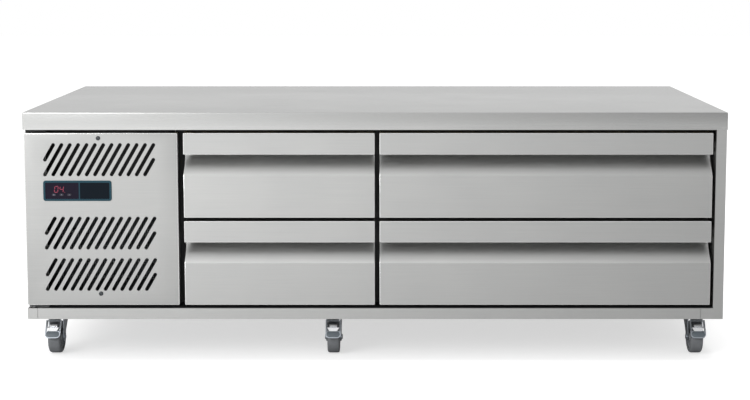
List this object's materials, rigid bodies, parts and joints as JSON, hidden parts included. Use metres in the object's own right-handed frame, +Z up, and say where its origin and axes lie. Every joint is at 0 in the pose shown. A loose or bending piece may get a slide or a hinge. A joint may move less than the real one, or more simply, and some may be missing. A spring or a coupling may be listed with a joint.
{
  "type": "refrigerated chef base",
  "caption": "Low refrigerated counter on castors: pull-out pan drawers under a flat stainless worktop, beside a louvred machine compartment with an electronic controller.",
  "frame": {"origin": "on the floor under the middle of the worktop", "axes": "+X along the front, to the right of a user who faces the drawers; -Y towards that user; +Z up"},
  "size_m": [1.61, 0.7, 0.58],
  "materials": {
    "stainless": "satin",
    "galvanised": "matte",
    "zinc": "satin",
    "foam": "matte",
    "black_plastic": "matte",
    "foam_moulding": "matte",
    "tread_rubber": "matte",
    "seal_rubber": "matte",
    "teal_plastic": "satin",
    "black_enamel": "satin",
    "aluminium": "satin",
    "copper": "satin"
  },
  "bodies": {
    "cabinet": {"worktop": "stainless", "outer_shell": "stainless", "insulation": "foam", "inner_liner": "stainless", "seal_frame": "black_plastic", "base_frame": "stainless", "left_side_panel": "stainless", "rear_grille": "stainless", "compressor_cover": "stainless", "controller_housing": "teal_plastic", "unit_tray": "galvanised", "compressor": "black_enamel", "condenser_coil": "aluminium", "fan_shroud": "galvanised", "evaporator_housing": "foam_moulding", "evaporator_coil": "aluminium", "suction_line": "copper", "left_slide_rack": "galvanised", "mullion_slide_rack": "galvanised", "right_slide_rack": "galvanised"},
    "set_key": {"set_key": "seal_rubber"},
    "down_key": {"down_key": "seal_rubber"},
    "up_key": {"up_key": "seal_rubber"},
    "condenser_fan": {"condenser_fan": "black_plastic"},
    "evaporator_fan": {"evaporator_fan": "black_plastic"},
    "upper_left_drawer": {"upper_left_drawer_front": "stainless", "upper_left_gasket": "seal_rubber", "upper_left_drawer_frame": "stainless"},
    "upper_left_middle_slides": {"upper_left_left_slide": "galvanised", "upper_left_right_slide": "galvanised"},
    "upper_right_drawer": {"upper_right_drawer_front": "stainless", "upper_right_gasket": "seal_rubber", "upper_right_drawer_frame": "stainless"},
    "upper_right_middle_slides": {"upper_right_left_slide": "galvanised", "upper_right_right_slide": "galvanised"},
    "lower_left_drawer": {"lower_left_drawer_front": "stainless", "lower_left_gasket": "seal_rubber", "lower_left_drawer_frame": "stainless"},
    "lower_left_middle_slides": {"lower_left_left_slide": "galvanised", "lower_left_right_slide": "galvanised"},
    "lower_right_drawer": {"lower_right_drawer_front": "stainless", "lower_right_gasket": "seal_rubber", "lower_right_drawer_frame": "stainless"},
    "lower_right_middle_slides": {"lower_right_left_slide": "galvanised", "lower_right_right_slide": "galvanised"},
    "front_left_swivel": {"front_left_castor_fork": "zinc"},
    "front_left_wheel": {"front_left_castor_wheel": "tread_rubber"},
    "front_left_brake": {"front_left_brake_pedal": "zinc"},
    "front_middle_swivel": {"front_middle_castor_fork": "zinc"},
    "front_middle_wheel": {"front_middle_castor_wheel": "tread_rubber"},
    "front_middle_brake": {"front_middle_brake_pedal": "zinc"},
    "front_right_swivel": {"front_right_castor_fork": "zinc"},
    "front_right_wheel": {"front_right_castor_wheel": "tread_rubber"},
    "front_right_brake": {"front_right_brake_pedal": "zinc"},
    "rear_left_swivel": {"rear_left_castor_fork": "zinc"},
    "rear_left_wheel": {"rear_left_castor_wheel": "tread_rubber"},
    "rear_middle_swivel": {"rear_middle_castor_fork": "zinc"},
    "rear_middle_wheel": {"rear_middle_castor_wheel": "tread_rubber"},
    "rear_right_swivel": {"rear_right_castor_fork": "zinc"},
    "rear_right_wheel": {"rear_right_castor_wheel": "tread_rubber"}
  },
  "joints": [
    {"name": "set_key_press", "type": "slide", "parent": "cabinet", "child": "set_key", "axis": [0, 1, 0], "range_m": [0, 0.0008], "stiffness_N_per_m": 600, "springref_m": -0.0004},
    {"name": "down_key_press", "type": "slide", "parent": "cabinet", "child": "down_key", "axis": [0, 1, 0], "range_m": [0, 0.0008], "stiffness_N_per_m": 600, "springref_m": -0.0004},
    {"name": "up_key_press", "type": "slide", "parent": "cabinet", "child": "up_key", "axis": [0, 1, 0], "range_m": [0, 0.0008], "stiffness_N_per_m": 600, "springref_m": -0.0004},
    {"name": "condenser_fan_spin", "type": "hinge", "parent": "cabinet", "child": "condenser_fan", "pos_m": [-0.6342, -0.2107, 0.2716], "axis": [0, 1, 0], "continuous": true},
    {"name": "evaporator_fan_spin", "type": "hinge", "parent": "cabinet", "child": "evaporator_fan", "pos_m": [-0.4909, 0.1862, 0.33225], "axis": [1, 0, 0], "continuous": true},
    {"name": "upper_left_drawer_slide", "type": "slide", "parent": "cabinet", "child": "upper_left_drawer", "axis": [0, -1, 0], "range_m": [0, 0.53]},
    {"name": "upper_left_middle_slides_slide", "type": "slide", "parent": "cabinet", "child": "upper_left_middle_slides", "axis": [0, -1, 0], "range_m": [0, 0.265]},
    {"name": "upper_right_drawer_slide", "type": "slide", "parent": "cabinet", "child": "upper_right_drawer", "axis": [0, -1, 0], "range_m": [0, 0.53]},
    {"name": "upper_right_middle_slides_slide", "type": "slide", "parent": "cabinet", "child": "upper_right_middle_slides", "axis": [0, -1, 0], "range_m": [0, 0.265]},
    {"name": "lower_left_drawer_slide", "type": "slide", "parent": "cabinet", "child": "lower_left_drawer", "axis": [0, -1, 0], "range_m": [0, 0.53]},
    {"name": "lower_left_middle_slides_slide", "type": "slide", "parent": "cabinet", "child": "lower_left_middle_slides", "axis": [0, -1, 0], "range_m": [0, 0.265]},
    {"name": "lower_right_drawer_slide", "type": "slide", "parent": "cabinet", "child": "lower_right_drawer", "axis": [0, -1, 0], "range_m": [0, 0.53]},
    {"name": "lower_right_middle_slides_slide", "type": "slide", "parent": "cabinet", "child": "lower_right_middle_slides", "axis": [0, -1, 0], "range_m": [0, 0.265]},
    {"name": "front_left_swivel_turn", "type": "hinge", "parent": "cabinet", "child": "front_left_swivel", "pos_m": [-0.7555, -0.238, 0.099], "axis": [0, 0, 1], "continuous": true},
    {"name": "front_left_wheel_roll", "type": "hinge", "parent": "front_left_swivel", "child": "front_left_wheel", "pos_m": [-0.7555, -0.268, 0.0375], "axis": [1, 0, 0], "continuous": true},
    {"name": "front_left_brake_press", "type": "hinge", "parent": "front_left_swivel", "child": "front_left_brake", "pos_m": [-0.7555, -0.2625, 0.0838], "axis": [1, 0, 0], "range_deg": [0, 10]},
    {"name": "front_middle_swivel_turn", "type": "hinge", "parent": "cabinet", "child": "front_middle_swivel", "pos_m": [-0.099, -0.238, 0.099], "axis": [0, 0, 1], "continuous": true},
    {"name": "front_middle_wheel_roll", "type": "hinge", "parent": "front_middle_swivel", "child": "front_middle_wheel", "pos_m": [-0.099, -0.268, 0.0375], "axis": [1, 0, 0], "continuous": true},
    {"name": "front_middle_brake_press", "type": "hinge", "parent": "front_middle_swivel", "child": "front_middle_brake", "pos_m": [-0.099, -0.2625, 0.0838], "axis": [1, 0, 0], "range_deg": [0, 10]},
    {"name": "front_right_swivel_turn", "type": "hinge", "parent": "cabinet", "child": "front_right_swivel", "pos_m": [0.7555, -0.238, 0.099], "axis": [0, 0, 1], "continuous": true},
    {"name": "front_right_wheel_roll", "type": "hinge", "parent": "front_right_swivel", "child": "front_right_wheel", "pos_m": [0.7555, -0.268, 0.0375], "axis": [1, 0, 0], "continuous": true},
    {"name": "front_right_brake_press", "type": "hinge", "parent": "front_right_swivel", "child": "front_right_brake", "pos_m": [0.7555, -0.2625, 0.0838], "axis": [1, 0, 0], "range_deg": [0, 10]},
    {"name": "rear_left_swivel_turn", "type": "hinge", "parent": "cabinet", "child": "rear_left_swivel", "pos_m": [-0.7555, 0.238, 0.099], "axis": [0, 0, 1], "continuous": true},
    {"name": "rear_left_wheel_roll", "type": "hinge", "parent": "rear_left_swivel", "child": "rear_left_wheel", "pos_m": [-0.7555, 0.208, 0.0375], "axis": [1, 0, 0], "continuous": true},
    {"name": "rear_middle_swivel_turn", "type": "hinge", "parent": "cabinet", "child": "rear_middle_swivel", "pos_m": [-0.099, 0.238, 0.099], "axis": [0, 0, 1], "continuous": true},
    {"name": "rear_middle_wheel_roll", "type": "hinge", "parent": "rear_middle_swivel", "child": "rear_middle_wheel", "pos_m": [-0.099, 0.208, 0.0375], "axis": [1, 0, 0], "continuous": true},
    {"name": "rear_right_swivel_turn", "type": "hinge", "parent": "cabinet", "child": "rear_right_swivel", "pos_m": [0.7555, 0.238, 0.099], "axis": [0, 0, 1], "continuous": true},
    {"name": "rear_right_wheel_roll", "type": "hinge", "parent": "rear_right_swivel", "child": "rear_right_wheel", "pos_m": [0.7555, 0.208, 0.0375], "axis": [1, 0, 0], "continuous": true}
  ],
  "couplings": [
    {"joint": "upper_left_middle_slides_slide", "follows": "upper_left_drawer_slide", "ratio": 0.5},
    {"joint": "upper_right_middle_slides_slide", "follows": "upper_right_drawer_slide", "ratio": 0.5},
    {"joint": "lower_left_middle_slides_slide", "follows": "lower_left_drawer_slide", "ratio": 0.5},
    {"joint": "lower_right_middle_slides_slide", "follows": "lower_right_drawer_slide", "ratio": 0.5}
  ]
}
